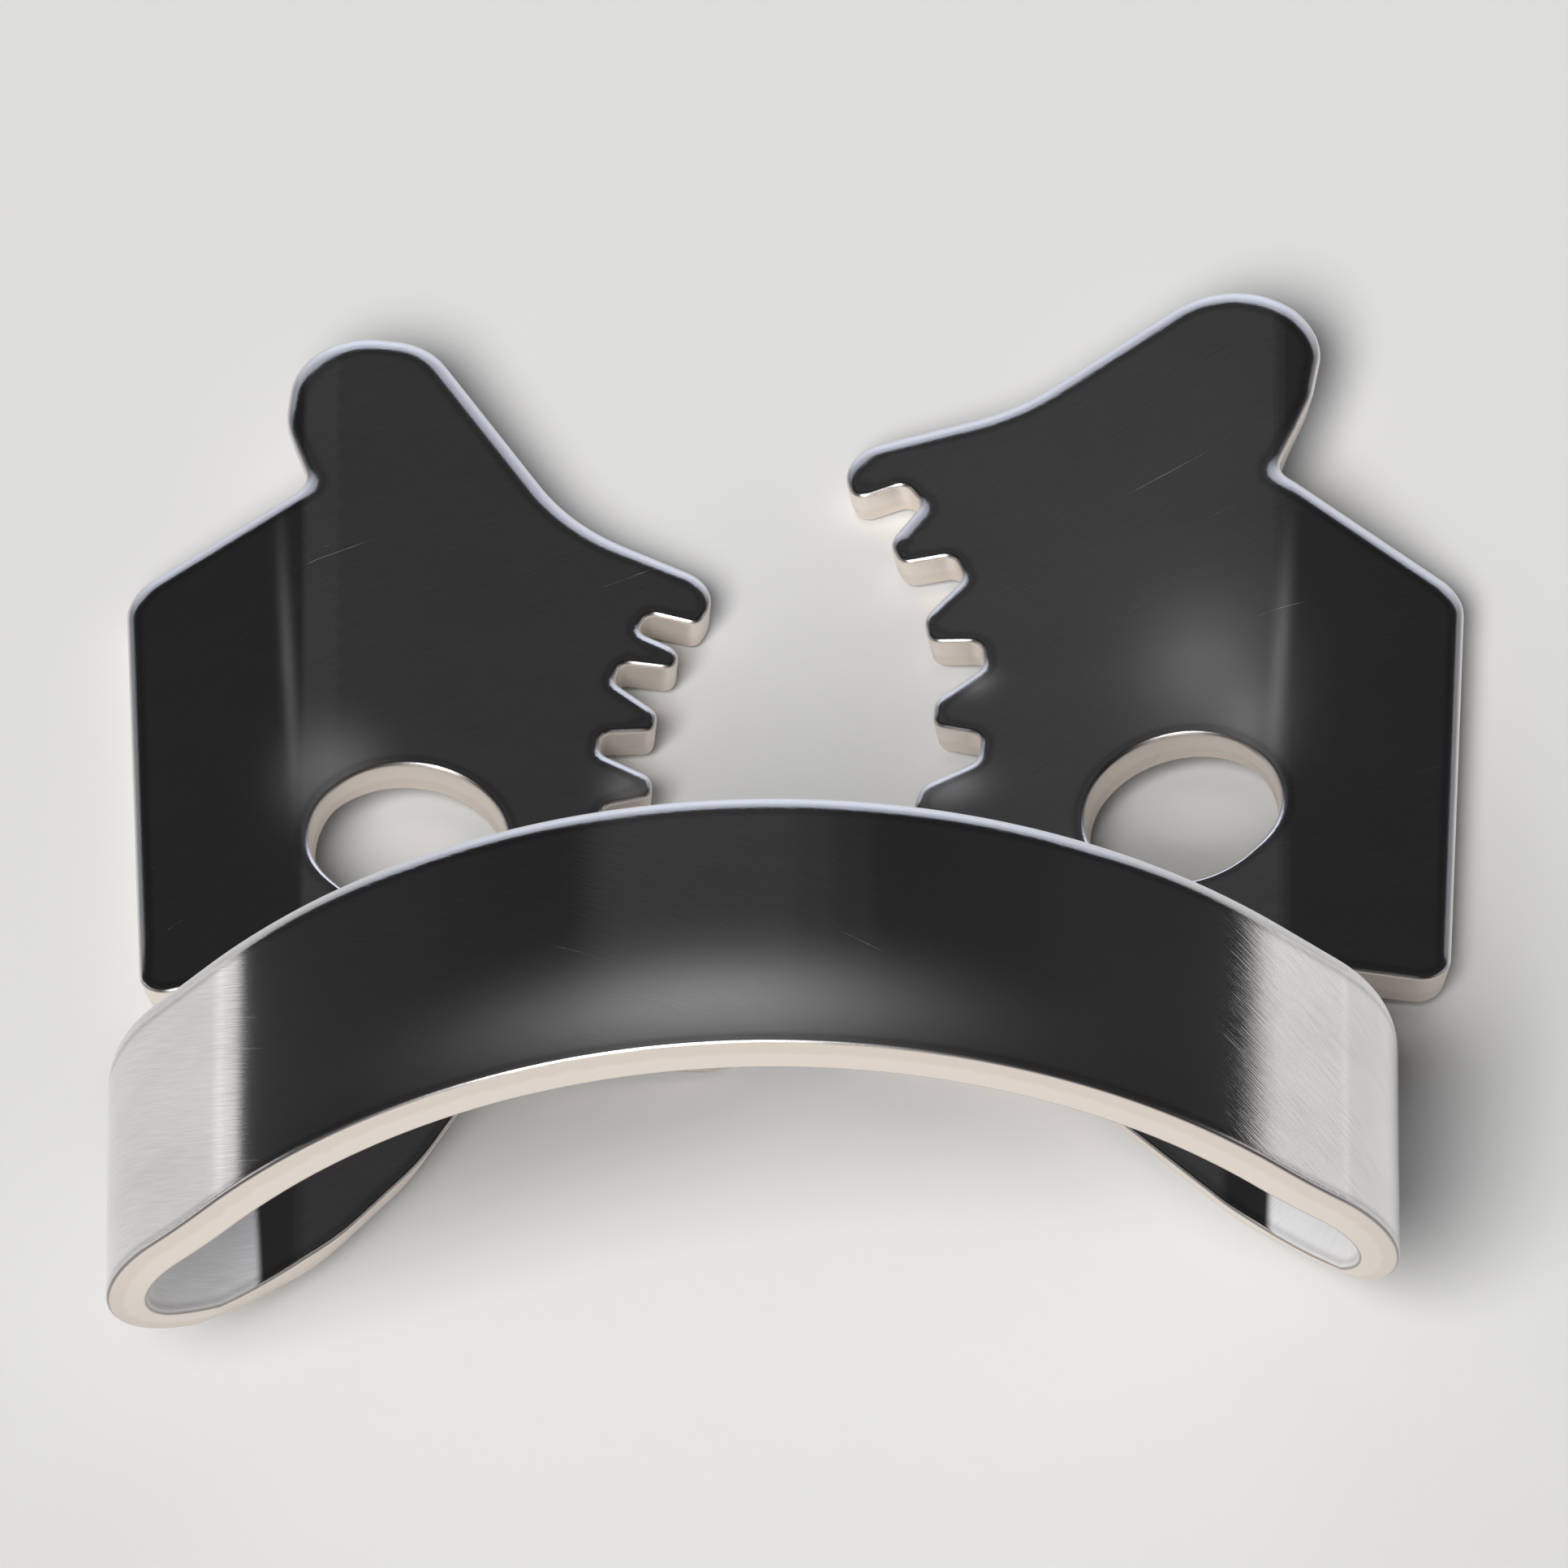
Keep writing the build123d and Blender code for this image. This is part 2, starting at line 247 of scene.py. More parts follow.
def evenSteps(points, step):
    # The same path in even steps of its length, which the first two columns give
    gap = np.linalg.norm(np.diff(points[:, :2], axis=0), axis=1)
    along = np.concatenate(([0.0], np.cumsum(gap)))
    where = np.linspace(0, along[-1], max(2, round(along[-1] / step) + 1))
    return np.stack([np.interp(where, along, column) for column in points.T], 1)


def gripPoint(jaw, angle, depth):
    # A point of the gripping edge: the arc's centre + (radius + depth) * (cos angle, sin angle)
    reach = jaw["gripRadius"] + depth
    angle = math.radians(angle)
    return (jaw["gripBulge"] - jaw["gripRadius"] + reach * math.cos(angle),
            jaw["gripMiddle"] + reach * math.sin(angle))


def jawPath(jaw):
    # The jaw in plan (outward, along): heel, teeth, prong, nose, neck, wing, slot
    tooth = toothShape
    pitchLength = math.radians(jaw["pitch"]) * jaw["gripRadius"]
    corners = [(sheetShape["holeAcross"], -footShape["front"], 0),
               (tooth["heelAcross"] * jaw["wingReach"], -footShape["front"], tooth["heelRound"]),
               (*gripPoint(jaw, jaw["heel"], 0), tooth["prongRound"])]
    for angle in reversed((jaw["prong"],) + jaw["teeth"]):
        for share, depth, rounding in (("notchEnd", tooth["notchDepth"], "notchRound"),
                                       ("notchStart", tooth["notchDepth"], "notchRound"),
                                       ("tipEnd", 0, "tipHook"), ("tipStart", 0, "tipRound")):
            if share == "tipStart" and angle == jaw["prong"]:
                continue
            point = gripPoint(jaw, angle + tooth[share] * jaw["pitch"], depth)
            corners.append((*point, tooth[rounding] * pitchLength))
    for across, along, rounding in jaw["front"]:
        corners.append((across * jaw["wingReach"], along * jaw["noseReach"], rounding * jaw["noseReach"]))
    corners.append((tooth["wingBackAcross"] * jaw["wingReach"], -jaw["wingBack"],
                    tooth["wingBackRound"] * jaw["noseReach"]))
    corners.append((jaw["slotRoot"], -jaw["wingBack"], 0))
    return roundedPath(corners)


def withLean(path, line):
    # A third column: how far the edge slides along the strip on the bow's outer face. The foot is cut
    # at its own slope on the plate, half * tan(cut - plate), and square where the sheet has turned 45
    turned = np.degrees(walkLine(line, path[:, 0])[1]) - (sheetShape["plateSlope"] - 180)
    lean = math.tan(math.radians(footShape["cutSlope"] - sheetShape["plateSlope"]))
    lean *= -sheetShape["thickness"] / 2 * np.clip(1 - turned / footShape["squareAfter"], 0, 1)
    return np.concatenate((path, lean[:, None]), 1)


def cornerCut(height):
    # The shoulder's back edge seen from the side: down an arc from its top, which is
    # radius * (1 - sqrt(1 - (drop / radius)^2)), then straight down from the arc's last angle
    bend = footShape["cornerRadius"]
    most = math.sin(math.radians(footShape["cornerAngle"]))
    turned = np.clip((footShape["cornerTop"] - height) / bend, 0, most)
    return -sheetShape["bowSetback"] - sheetShape["bowWidth"] + bend * (1 - np.sqrt(1 - turned ** 2))


def sideOutline(side):
    # Half of the outline on the unbent sheet, from the crown's back edge round the jaw to its front
    # edge: (length from the crown, along, slide). Plan points go through the wing's middle line, and
    # foot points through their distance along the tilted cutting plane
    jaw, foot, lines = jawShapes[side], footShape, sectionLines(side)
    bowFront = -sheetShape["bowSetback"]
    bowBack = bowFront - sheetShape["bowWidth"]
    slotLow = -jaw["wingBack"] - foot["slotWidth"]
    slotMiddle = -jaw["wingBack"] - foot["slotWidth"] / 2
    tilt = math.radians(foot["cutSlope"])

    s = np.linspace(*lines["wing"]["knots"][[0, -1]], meshing["wingSamples"])
    outward = walkLine(lines["wing"], s)[0][:, 0]
    plan = evenSteps(jawPath(jaw), meshing["outlineStep"])
    turn = np.linspace(math.pi / 2, 3 * math.pi / 2, meshing["arcPoints"])
    slotRound = np.stack((jaw["slotRoot"] + foot["slotWidth"] / 2 * np.cos(turn),
                          slotMiddle + foot["slotWidth"] / 2 * np.sin(turn)), 1)
    plan = np.concatenate((plan, slotRound[1:]))
    planFlat = np.stack((np.interp(-plan[:, 0], -outward, s), plan[:, 1], 0 * plan[:, 0]), 1)

    s = np.linspace(*lines["strip"]["knots"][[0, -1]], meshing["stripSamples"])
    point = walkLine(lines["strip"], s)[0]
    run = (point[:, 0] - lines["reach"]) * math.cos(tilt)
    run += (point[:, 1] - lines["shoulderHeight"]) * math.sin(tilt)
    rootHeight = -(sheetShape["ridge"] - jaw["slotRoot"]) * math.tan(math.radians(sheetShape["plateSlope"]))
    rootRun = (jaw["slotRoot"] - lines["reach"]) * math.cos(tilt)
    rootRun += (rootHeight - lines["shoulderHeight"]) * math.sin(tilt)
    turnAcross, turnRound = foot["turnShare"]
    heelAcross, heelRound = foot["heelShare"]
    backCorners = [(-across * foot["run"], along * bowBack, -rounding * bowBack)
                   for across, along, rounding in reversed(jaw["foot"])]
    back = [(0, bowBack, 0), *backCorners, (-heelAcross * foot["run"], -foot["front"], -heelRound * bowBack),
            (-foot["run"], -foot["front"], 0)]
    across, along, rounding = foot["browShare"]
    front = [(rootRun, slotMiddle, 0), (-across * foot["run"], along * bowBack, -rounding * bowBack),
             (-turnAcross * foot["run"], bowFront, -turnRound * bowBack), (0, bowFront, 0)]
    back, front = (evenSteps(roundedPath(path), meshing["outlineStep"] / 2) for path in (back, front))
    front = front[front[:, 1] < slotLow]
    curled = s > lines["strip"]["knots"][3]
    back, front = (np.stack((np.interp(-path[:, 0], -run[curled], s[curled]), path[:, 1]), 1)
                   for path in (back, front))
    shoulder = (point[:, 1] < foot["cornerTop"]) & (s < back[-1, 0])
    back = np.stack((s[shoulder], np.interp(s[shoulder], back[:, 0], back[:, 1])), 1)
    back[:, 1] = np.maximum(back[:, 1], cornerCut(point[shoulder, 1]))
    planFlat = planFlat[np.argmax(planFlat[:, 0] > back[-1, 0] + meshing["planGap"]):]
    back, front = (withLean(evenSteps(path, meshing["outlineStep"]), lines["strip"])
                   for path in (back, front))
    return np.concatenate(([(0, bowBack, 0)], back, planFlat, front, [(0, bowFront, 0)]))


def flatOutlines():
    # The loops of the unbent sheet in (length across from the crown, along), the metal on their left,
    # and how far each point slides along the strip on the bow's outer face
    right, left = sideOutline(1), sideOutline(-1) * (-1, 1, -1)
    outer = np.concatenate((right, left[::-1]))
    outer = evenSteps(np.concatenate((outer, outer[:1])), meshing["outlineStep"])[:-1]
    loops, slides = [outer[:, :2]], [outer[:, 2]]
    for side in (1, -1):
        centre = side * holeLength(side)
        count = round(2 * math.pi * sheetShape["holeRadius"] / meshing["outlineStep"])
        turn = -np.arange(count) * 2 * math.pi / count
        loops.append(np.stack((centre + sheetShape["holeRadius"] * np.cos(turn),
                               sheetShape["holeRadius"] * np.sin(turn)), 1))
        slides.append(np.zeros(count))
    return loops, slides


def holeLength(side):
    # How far along the strip's middle line the forceps hole lies
    strip = sectionLines(side)["strip"]
    slope = math.radians(sheetShape["plateSlope"])
    across = sheetShape["holeAcross"] + sheetShape["thickness"] / 2 * math.sin(slope)
    return strip["knots"][4] + (strip["nodes"][4][0] - across) / math.cos(slope)


def bendSheet(flat):
    # Carries points of the unbent sheet to its middle surface: the point, the direction across, and
    # the direction out of the bow's outer face
    place, across, outside = (np.zeros((len(flat), 3)) for _ in range(3))
    for side in (1, -1):
        lines = sectionLines(side)
        slotMiddle = -jawShapes[side]["wingBack"] - footShape["slotWidth"] / 2
        here = flat[:, 0] * side >= 0
        for name, chosen in (("wing", here & (flat[:, 1] > slotMiddle)),
                             ("strip", here & (flat[:, 1] <= slotMiddle))):
            point, heading = walkLine(lines[name], np.abs(flat[chosen, 0]))
            along = flat[chosen, 1]
            place[chosen] = np.stack((side * point[:, 0], along, point[:, 1]), 1)
            across[chosen] = np.stack((np.cos(heading), 0 * along, side * np.sin(heading)), 1)
            outside[chosen] = np.stack((-side * np.sin(heading), 0 * along, np.cos(heading)), 1)
    return place, across, outside


def outwardOf(loop):
    # Outward of a loop at each point, square to the chord between its neighbours
    chord = np.roll(loop, -1, 0) - np.roll(loop, 1, 0)
    outward = np.stack((chord[:, 1], -chord[:, 0]), 1)
    return outward / np.linalg.norm(outward, axis=1)[:, None]


def rimReach(loops, outward):
    # How far across each face the rounding reaches: least on edges towards the bow, more on those
    # towards the noses, most on these away from the teeth and the slots, and small in the holes.
    # reach = least + (more - least + (most - more) * clear) * facing
    least, more, most = sheetShape["rimAcross"]
    across, along = np.abs(loops[0][:, 0]), loops[0][:, 1]
    teethAcross, teethAlong = sheetShape["wideNearTeeth"]
    noseAlong, noseFade = sheetShape["wideNearNose"]
    nearTeeth = np.minimum(teethAcross - across, along - teethAlong)
    nearNose = (along - noseAlong) / noseFade
    clear = np.clip(np.maximum.reduce((sheetShape["wideNearCrown"] - across, nearTeeth, nearNose)), 0, 1)
    sideways, share = sheetShape["rimFacing"]
    facing = np.clip(sideways + share * outward[0][:, 1], 0, 1)
    reach = least + (more - least + (most - more) * clear) * facing
    return [reach] + [np.full(len(loop), sheetShape["holeRimAcross"]) for loop in loops[1:]]


def insideOf(points, loops):
    # True where a line towards +x crosses the loops an odd number of times
    inside = np.zeros(len(points), bool)
    for loop in loops:
        start, end = loop, np.roll(loop, -1, 0)
        spans = (start[None, :, 1] > points[:, None, 1]) != (end[None, :, 1] > points[:, None, 1])
        rise = np.where(end[:, 1] == start[:, 1], tiny, end[:, 1] - start[:, 1])
        crossing = start[:, 0] + (points[:, None, 1] - start[:, 1]) / rise * (end - start)[:, 0]
        inside ^= ((points[:, None, 0] < crossing) & spans).sum(1) % 2 == 1
    return inside


def insideInParts(points, loops):
    # The same for many points, in parts to spare memory
    parts = np.array_split(points, meshing["insideParts"])
    return np.concatenate([insideOf(part, loops) for part in parts])


def nearestEdge(points, edge):
    # Which point of the edge lies nearest to each point, and how far it is, in parts to spare memory
    found, far = [], []
    for part in np.array_split(points, meshing["nearestParts"]):
        gap = ((part[:, None] - edge[None]) ** 2).sum(2)
        found.append(gap.argmin(1))
        far.append(np.sqrt(gap.min(1)))
    return np.concatenate(found), np.concatenate(far)


def buildSheet():
    # Two faces on one flat triangulation and a rounded rim: (outward, out of face) runs from
    # (-a, h) over a quarter of an ellipse to (0, h - d), down the wall, and over another to (-a, -h)
    half, down = sheetShape["thickness"] / 2, sheetShape["rimDown"]
    loops, slides = flatOutlines()
    outward = [outwardOf(loop) for loop in loops]
    reaches = rimReach(loops, outward)
    rings = [loop - reach[:, None] * side for loop, side, reach in zip(loops, outward, reaches)]
    ringPoints = np.concatenate(rings)
    step = meshing["gridStep"]
    low, high = ringPoints.min(0), ringPoints.max(0)
    gridX, gridY = np.meshgrid(np.arange(low[0], high[0], step), np.arange(low[1], high[1], step))
    gridX = gridX + (np.arange(gridX.shape[0]) % 2)[:, None] * step / 2
    grid = np.stack((gridX.ravel(), gridY.ravel()), 1)
    grid = grid[insideInParts(grid, rings)]
    grid = grid[nearestEdge(grid, ringPoints)[1] > step * meshing["gridClear"]]
    flat = np.concatenate((ringPoints, grid))
    starts = np.cumsum([0] + [len(ring) for ring in rings])
    edges = np.concatenate([np.stack((np.arange(a, b), np.roll(np.arange(a, b), -1)), 1)
                            for a, b in zip(starts, starts[1:])])
    found = delaunay_2d_cdt(flat.tolist(), edges.tolist(), [], 1, meshing["mergeWithin"], False)
    print("flat triangulation", len(flat), "points in,", len(found[0]), "out")
    triangles = np.array(found[2])
    triangles = triangles[insideInParts(flat[triangles].mean(1), rings)]

    # The faces slide with their edge, the outer one way and the inner the other, and less further in
    edge, side, slide, rim = (np.concatenate(parts) for parts in (loops, outward, slides, reaches))
    nearest, inset = nearestEdge(flat, edge)
    moved = slide[nearest] * np.clip(1 - (inset - rim[nearest]) / meshing["slideFade"], 0, 1)
    count = len(flat)
    points, normals, insets, depths, walls, fronts, flats = [], [], [], [], [], [], []
    for face in (1, -1):
        place, across, outside = bendSheet(flat + np.stack((face * moved, 0 * moved), 1))
        points.append(place + outside * face * half)
        normals.append(outside * face)
        insets.append(inset - rim[nearest])
        depths.append(np.full(count, float(face)))
        walls.append(np.zeros(count))
        fronts.append(np.zeros(count))
        flats.append(flat)

    quarter = np.linspace(90, 0, meshing["rimSteps"] + 1)
    angle = np.radians(np.concatenate((quarter, np.zeros(meshing["wallSteps"] - 1), -quarter[::-1])))
    outs = np.cos(angle) - 1
    depth = (half - down) * np.sign(angle) + down * np.sin(angle)
    flatWall = slice(meshing["rimSteps"], meshing["rimSteps"] + meshing["wallSteps"] + 1)
    depth[flatWall] = np.linspace(half - down, down - half, meshing["wallSteps"] + 1)
    lean = slide * side[:, 0] / half
    columns = [np.arange(len(edge))]
    made = 2 * count
    for k in range(1, len(angle) - 1):
        ring = edge + outs[k] * rim[:, None] * side
        ring[:, 0] += slide * depth[k] / half
        ringPlace, ringAcross, ringOutside = bendSheet(ring)
        sideways = ringAcross * side[:, :1] + np.array((0, 1, 0)) * side[:, 1:]
        facing = np.arctan2(math.sin(angle[k]) * rim, math.cos(angle[k]) * down)[:, None]
        direction = (sideways - ringOutside * lean[:, None]) * np.cos(facing) + ringOutside * np.sin(facing)
        points.append(ringPlace + ringOutside * depth[k])
        normals.append(direction / np.linalg.norm(direction, axis=1)[:, None])
        insets.append(-(1 + outs[k]) * rim)
        depths.append(np.full(len(edge), depth[k] / half))
        walls.append(np.cos(facing[:, 0]))
        fronts.append(np.clip(meshing["frontFacing"] * side[:, 1], 0, 1))
        flats.append(edge)
        columns.append(made + np.arange(len(edge)))
        made += len(edge)
    columns.append(count + np.arange(len(edge)))

    following = np.concatenate([np.roll(np.arange(a, b), -1) for a, b in zip(starts, starts[1:])])
    quads = np.concatenate([np.stack((one, two, two[following], one[following]), 1)
                            for one, two in zip(columns, columns[1:])])
    faces = triangles.tolist() + (triangles[:, ::-1] + count).tolist() + quads.tolist()
    data = {name: np.concatenate(parts) for name, parts in
            (("inset", insets), ("depth", depths), ("wall", walls), ("front", fronts), ("flat", flats))}
    data["length"], data["along"] = data.pop("flat").T
    return np.concatenate(points), np.concatenate(normals), faces, data


def placeInFrame(points):
    # From the drawing's origin to the frame's: the middles of both boxes meet, and both stand at 0
    low, high = points.min(0), points.max(0)
    shift = (np.array(cadLow) + np.array(cadHigh)) / 2 / millimetre - (low + high) / 2
    shift[2] = cadLow.z / millimetre - low[2]
    return (points + shift) * millimetre, shift


points, normals, faces, pointValues = buildSheet()
points, drawingShift = placeInFrame(points)
mesh = bpy.data.meshes.new("bentSheet")
mesh.from_pydata(points.tolist(), [], faces)
mesh.polygons.foreach_set("use_smooth", np.ones(len(faces), bool))
mesh.normals_split_custom_set_from_vertices(normals.tolist())
for name, values in pointValues.items():
    mesh.attributes.new(name, "FLOAT", "POINT").data.foreach_set("value", values.astype(np.float32))
clamp = bpy.data.objects.new("bentSheet", mesh)
bpy.context.scene.collection.objects.link(clamp)
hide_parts("clamp_body")
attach(clamp, "root")
print("sheet built:", len(points), "points,", len(faces), "faces, shift", drawingShift)


class Socket:
    # An output socket that takes part in sums: each operator adds its Math node
    def __init__(self, tree, link):
        self.tree, self.link = tree, link

    def math(self, operation, *values):
        return self.tree.node("ShaderNodeMath", {"operation": operation}, *values)

    def __add__(self, other):
        return self.math("ADD", self, other)

    def __radd__(self, other):
        return self.math("ADD", other, self)

    def __sub__(self, other):
        return self.math("SUBTRACT", self, other)

    def __rsub__(self, other):
        return self.math("SUBTRACT", other, self)

    def __mul__(self, other):
        return self.math("MULTIPLY", self, other)

    def __rmul__(self, other):
        return self.math("MULTIPLY", other, self)

    def exp(self, factor):
        # e ^ (factor * value)
        return self.math("EXPONENT", self * factor)

    def smooth(self, low, high):
        # 0 below low, 1 above high, smooth between
        return self.tree.node("ShaderNodeMapRange", {"interpolation_type": "SMOOTHSTEP"},
                              self, low, high, 0.0, 1.0)


class Finish:
    # A material's node tree, with one method that makes any node
    def __init__(self, name):
        self.material = bpy.data.materials.new(name)
        self.material.use_nodes = True
        self.tree = self.material.node_tree
        self.shader = self.tree.nodes["Principled BSDF"]

    def node(self, kind, settings=None, *values, output=0, **named):
        # Values go to the enabled sockets in order, and named ones to the socket of that name
        made = self.tree.nodes.new(kind)
        for key, value in (settings or {}).items():
            setattr(made, key, value)
        sockets = [s for s in made.inputs if s.enabled]
        for socket, value in list(zip(sockets, values)) + [
                (next(s for s in sockets if s.name == key), value) for key, value in named.items()]:
            self.plug(socket, value)
        return Socket(self, [s for s in made.outputs if s.enabled][output])

    def plug(self, socket, value):
        if isinstance(value, Socket):
            self.tree.links.new(value.link, socket)
        else:
            socket.default_value = value

    def value(self, name):
        # A point attribute as a number
        return self.node("ShaderNodeAttribute", {"attribute_name": name}, output=2)

    def mix(self, factor, one, two):
        # colour = one * (1 - factor) + two * factor
        return self.node("ShaderNodeMix", {"data_type": "RGBA"}, factor, one, two)

    def noise(self, vector, stretch, scale, detail):
        placed = self.node("ShaderNodeVectorMath", {"operation": "MULTIPLY"}, vector, stretch)
        return self.node("ShaderNodeTexNoise", None, Vector=placed, Scale=scale, Detail=detail)

    def finish(self, **inputs):
        for name, value in inputs.items():
            self.plug(self.shader.inputs[name.replace("_", " ")], value)
        return self.material


# Hazes are soft patches of thin film on the bow's outer face or on the jaws' upper face: centre and
# reach (length, along) on the unbent sheet, how much they take from Metallic, and their lean. Each
# noise is its stretch (length, along, depth), scale and detail, and a band is where a mask fades in
steelLook = {
    "face": (0.86, 0.855, 0.85, 1),
    # The next colour is the darker tone for the grain and the cloud, and also painted shade: the dark line
    # just inside the rim
    "toneAndRimShade": (0.42, 0.40, 0.40, 1),
    "land": (0.80, 0.725, 0.66, 1),
    "fracture": (0.745, 0.67, 0.605, 1),
    "rim": (0.86, 0.84, 0.82, 1),
    # The next colour is painted shade: near black on the rims that face the bow's front, darkening their
    # highlight
    "frontRimShade": (0.055, 0.045, 0.04, 1),
    "faceRoughness": 0.085,
    "rimRoughness": 0.40,
    "landRoughness": 0.36,
    "fractureRoughness": 0.46,
    "bowHazes": ((-0.3, -15.1, 3.9, 1.2, 0.25, 0), (-12.0, -13.0, 5.0, 5.0, 0.020, 0),
                 (12.0, -13.0, 5.0, 5.0, 0.022, 0)),
    "jawHazes": ((21.7, 3.5, 1.35, 1.9, 0.12, 0.10), (20.9, 1.9, 0.6, 1.1, 0.11, 0),
                 (20.3, 3.9, 0.14, 2.8, 0.10, -0.05), (27.1, 1.3, 0.7, 0.5, 0.19, 0),
                 (26.6, 4.1, 0.4, 0.35, 0.16, 0), (-22.0, 1.7, 0.9, 1.2, 0.12, 0),
                 (-21.1, 4.8, 0.14, 3.2, 0.075, 0.05), (-28.0, 1.5, 0.5, 0.6, 0.16, 0),
                 (24.0, 5.5, 4.0, 6.0, 0.012, 0)),
    "hazeRoughness": 0.4,
    "hazeGrain": 0.6,
    "curlSatin": (11.0, 13.0, 20.1, 20.35),
    "curlSatinAlong": (-6.0, -7.5),
    "satinRoughness": 0.36,
    "satinFilm": 0.85,
    "wallFilm": 0.42,
    "depthStretch": 3.0,
    "slant": 0.5,  # in radians
    "grain": ((0.35, 9.0, 1.0), 3.0, 3.0),
    "grainRoughness": 0.04,
    "grainShade": (0.36, 0.65),
    "cloud": ((0.30, 0.45, 1.0), 1.0, 3.0),
    "cloudRoughness": 0.05,
    "cloudShade": (0.36, 0.50),
    "scratch": ((0.16, 42.0, 1.0), 1.0, 1.0),
    "scratchBand": (0.74, 0.86),
    "scratchRoughness": 0.03,
    "ragged": ((2.6, 2.6, 0.2), 1.0, 3.0),
    "raggedReach": 0.5,
    "fractureBand": (-0.05, 0.30),
    "wallBand": (0.74, 0.97),
    "rimBand": (0.0, -0.12),
    "faceBand": (0.9, 1.0),
    # painted shade bands: how far the rim faces the bow's front, and how steep it is
    "frontRimShadeBand": (0.2, 0.9),
    "frontRimShadeSteepBand": (0.2, 0.5),
    # painted shade: where the dark line just inside the rim lies, how narrow it is and how dark
    "rimShadeInset": 0.06,
    "rimShadeNarrow": 12.0,
    "rimShadeStrength": 0.45,
    "bumpStrength": 0.35,
    "bumpDistance": 0.000012,  # in metres
    "bumpShares": (0.4, -0.12, 2.0),
}


def haze(length, along, spots):
    # The sum of amount * exp(-(across^2 + down^2)), where down = (along - middle) / reach and
    # across = (length - middle - lean * (along - middle)) / reach
    total = 0.0
    for middleLength, middleAlong, reachLength, reachAlong, amount, lean in spots:
        down = along - middleAlong
        across = (length - middleLength - down * lean) * (1 / reachLength)
        down = down * (1 / reachAlong)
        total = (across * across + down * down).exp(-1.0) * amount + total
    return total


def springSteel():
    # Polished faces with a fine slanting grain, sparse hair scratches and soft hazes. The edges are
    # as stamped: a bright land on the side of the jaws' upper face, a dull fracture below it
    look = steelLook
    finish = Finish("springSteel")
    steep = finish.value("wall")
    wall = steep.smooth(*look["wallBand"])
    # painted shade on the rims that face the bow's front, fading in as they steepen
    frontRimShade = finish.value("front").smooth(*look["frontRimShadeBand"]) * steep.smooth(*look["frontRimShadeSteepBand"])
    depth, inset, length, along = (finish.value(name) for name in ("depth", "inset", "length", "along"))
    flat = finish.node("ShaderNodeCombineXYZ", None, length, along, depth * look["depthStretch"])
    slanted = finish.node("ShaderNodeVectorRotate", {"rotation_type": "Z_AXIS"}, flat, Angle=look["slant"])
    grain = finish.noise(slanted, *look["grain"])
    cloud = finish.noise(flat, *look["cloud"])
    scratch = finish.noise(slanted, *look["scratch"]).smooth(*look["scratchBand"])
    ragged = finish.noise(flat, *look["ragged"])

    # fracture = smooth step, over its band, of depth + (ragged - 0.5) * reach
    fracture = (depth + (ragged - 0.5) * look["raggedReach"]).smooth(*look["fractureBand"])
    edgeColour = finish.mix(fracture, look["land"], look["fracture"])
    edgeRoughness = fracture * (look["fractureRoughness"] - look["landRoughness"]) + look["landRoughness"]
    low, high = look["faceBand"]
    outer = depth.smooth(low, high)
    inner = depth.smooth(-low, -high)
    hazes = outer * haze(length, along, look["bowHazes"]) + inner * haze(length, along, look["jawHazes"])
    hazes = hazes * ((grain - 0.5) * look["hazeGrain"] + 1)
    # The inside of both curls is satin where the sheet turns up, between two distances from the crown
    crown = length.math("ABSOLUTE", length)
    start, full, fade, end = look["curlSatin"]
    satin = crown.smooth(start, full) * crown.smooth(end, fade) * along.smooth(*look["curlSatinAlong"])
    satin = satin * inner
    rim = inset.smooth(*look["rimBand"])

    # roughness = base + grain + cloud + scratch + haze on the faces, the rim's and edge's on theirs
    roughness = (grain - 0.5) * look["grainRoughness"] + (cloud - 0.5) * look["cloudRoughness"]
    roughness = roughness + look["faceRoughness"] + scratch * look["scratchRoughness"]
    roughness = roughness + hazes * look["hazeRoughness"] + satin * look["satinRoughness"]
    roughness = roughness + rim * (look["rimRoughness"] - roughness)
    roughness = roughness + wall * (edgeRoughness - roughness)

    # colour = face towards the darker tone by the grain, the cloud and a painted shade line just
    # inside the rim, then the rim's own, with painted shade where the rim turns towards the bow's
    # front, and on the walls the edge's
    # painted shade: a thin dark line just inside the rim, all round the faces
    toneAndRimShade = (inset - look["rimShadeInset"]) * look["rimShadeNarrow"]
    shade = (toneAndRimShade * toneAndRimShade).exp(-1.0) * look["rimShadeStrength"] * (1 - wall)
    for noise, (middle, share) in ((grain, look["grainShade"]), (cloud, look["cloudShade"])):
        shade = shade + (noise - middle) * share
    face = finish.mix(shade, look["face"], look["toneAndRimShade"])
    face = finish.mix(rim, face, finish.mix(frontRimShade, look["rim"], look["frontRimShade"]))
    colour = finish.mix(wall, face, edgeColour)

    # metallic = 1 less the film of the satin, the hazes and the walls
    metallic = 1.0 - satin * look["satinFilm"] - hazes - wall * look["wallFilm"]
    grainHeight, scratchHeight, raggedHeight = look["bumpShares"]
    height = grain * grainHeight + scratch * scratchHeight + wall * ragged * raggedHeight
    normal = finish.node("ShaderNodeBump", None, Strength=look["bumpStrength"],
                         Distance=look["bumpDistance"], Height=height)
    return finish.finish(Base_Color=colour, Metallic=metallic, Roughness=roughness, Normal=normal)


clamp.data.materials.append(springSteel())
print("steel finish made")

